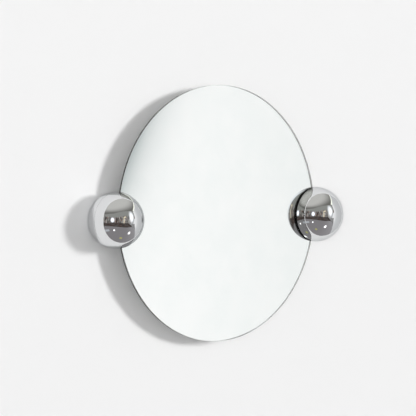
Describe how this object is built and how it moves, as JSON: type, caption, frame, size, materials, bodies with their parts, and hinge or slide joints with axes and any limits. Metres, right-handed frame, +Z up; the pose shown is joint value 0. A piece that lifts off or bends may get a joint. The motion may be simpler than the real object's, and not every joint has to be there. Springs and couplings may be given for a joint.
{
  "type": "wall mirror",
  "caption": "Frameless round wall mirror whose edge is gripped at both sides by polished ball clamps with domes that unscrew.",
  "frame": {"origin": "on the wall plane, midway between the two clamp studs", "axes": "+X to the viewer's right along the wall, +Y into the wall, +Z up; the mirror faces -Y"},
  "size_m": [0.6838, 0.1045, 0.5499],
  "materials": {
    "float_glass": "clear float glass, ground and polished edge",
    "silvering": "silver on the back of the glass",
    "white_safety_film": "white safety film with a woven scrim",
    "polished_chrome": "mirror-polished chrome plate",
    "turned_aluminium": "turned, with fine tool rings",
    "zinc_plated_steel": "bright zinc plate",
    "bright_steel": "bright ground steel",
    "insert_brass": "machined",
    "black_rubber": "matt",
    "white_nylon": "moulded"
  },
  "bodies": {
    "wall_side": {"mirror_glass": "float_glass", "silver_coating": "silvering", "backing_film": "white_safety_film", "left_wall_plate": "zinc_plated_steel", "left_clamp_stud": "zinc_plated_steel", "left_spacer_tube": "zinc_plated_steel", "left_rear_shell": "polished_chrome", "left_rear_core": "turned_aluminium", "left_core_washer": "zinc_plated_steel", "left_core_nut": "zinc_plated_steel", "left_rest_sleeve": "white_nylon", "left_rear_gasket": "black_rubber", "left_edge_packer": "turned_aluminium", "left_guide_pins": "bright_steel", "right_wall_plate": "zinc_plated_steel", "right_clamp_stud": "zinc_plated_steel", "right_spacer_tube": "zinc_plated_steel", "right_rear_shell": "polished_chrome", "right_rear_core": "turned_aluminium", "right_core_washer": "zinc_plated_steel", "right_core_nut": "zinc_plated_steel", "right_rest_sleeve": "white_nylon", "right_rear_gasket": "black_rubber", "right_edge_packer": "turned_aluminium", "right_guide_pins": "bright_steel"},
    "left_pressure_pad": {"left_front_gasket": "black_rubber", "left_pressure_plate": "bright_steel"},
    "left_dome": {"left_slip_ring": "white_nylon", "left_front_core": "turned_aluminium", "left_thread_insert": "insert_brass", "left_front_shell": "polished_chrome"},
    "right_pressure_pad": {"right_front_gasket": "black_rubber", "right_pressure_plate": "bright_steel"},
    "right_dome": {"right_slip_ring": "white_nylon", "right_front_core": "turned_aluminium", "right_thread_insert": "insert_brass", "right_front_shell": "polished_chrome"}
  },
  "joints": [
    {"name": "left_pad_travel", "type": "slide", "parent": "wall_side", "child": "left_pressure_pad", "axis": [0, -1, 0], "range_m": [0, 0.01]},
    {"name": "left_dome_turn", "type": "hinge", "parent": "left_pressure_pad", "child": "left_dome", "pos_m": [-0.28192, 0, 0], "axis": [0, -1, 0], "range_deg": [0, 2880]},
    {"name": "right_pad_travel", "type": "slide", "parent": "wall_side", "child": "right_pressure_pad", "axis": [0, -1, 0], "range_m": [0, 0.01]},
    {"name": "right_dome_turn", "type": "hinge", "parent": "right_pressure_pad", "child": "right_dome", "pos_m": [0.28192, 0, 0], "axis": [0, -1, 0], "range_deg": [0, 2880]}
  ],
  "couplings": [
    {"joint": "left_pad_travel", "follows": "left_dome_turn", "m_per_rad": 0.00019894},
    {"joint": "right_pad_travel", "follows": "right_dome_turn", "m_per_rad": 0.00019894}
  ]
}
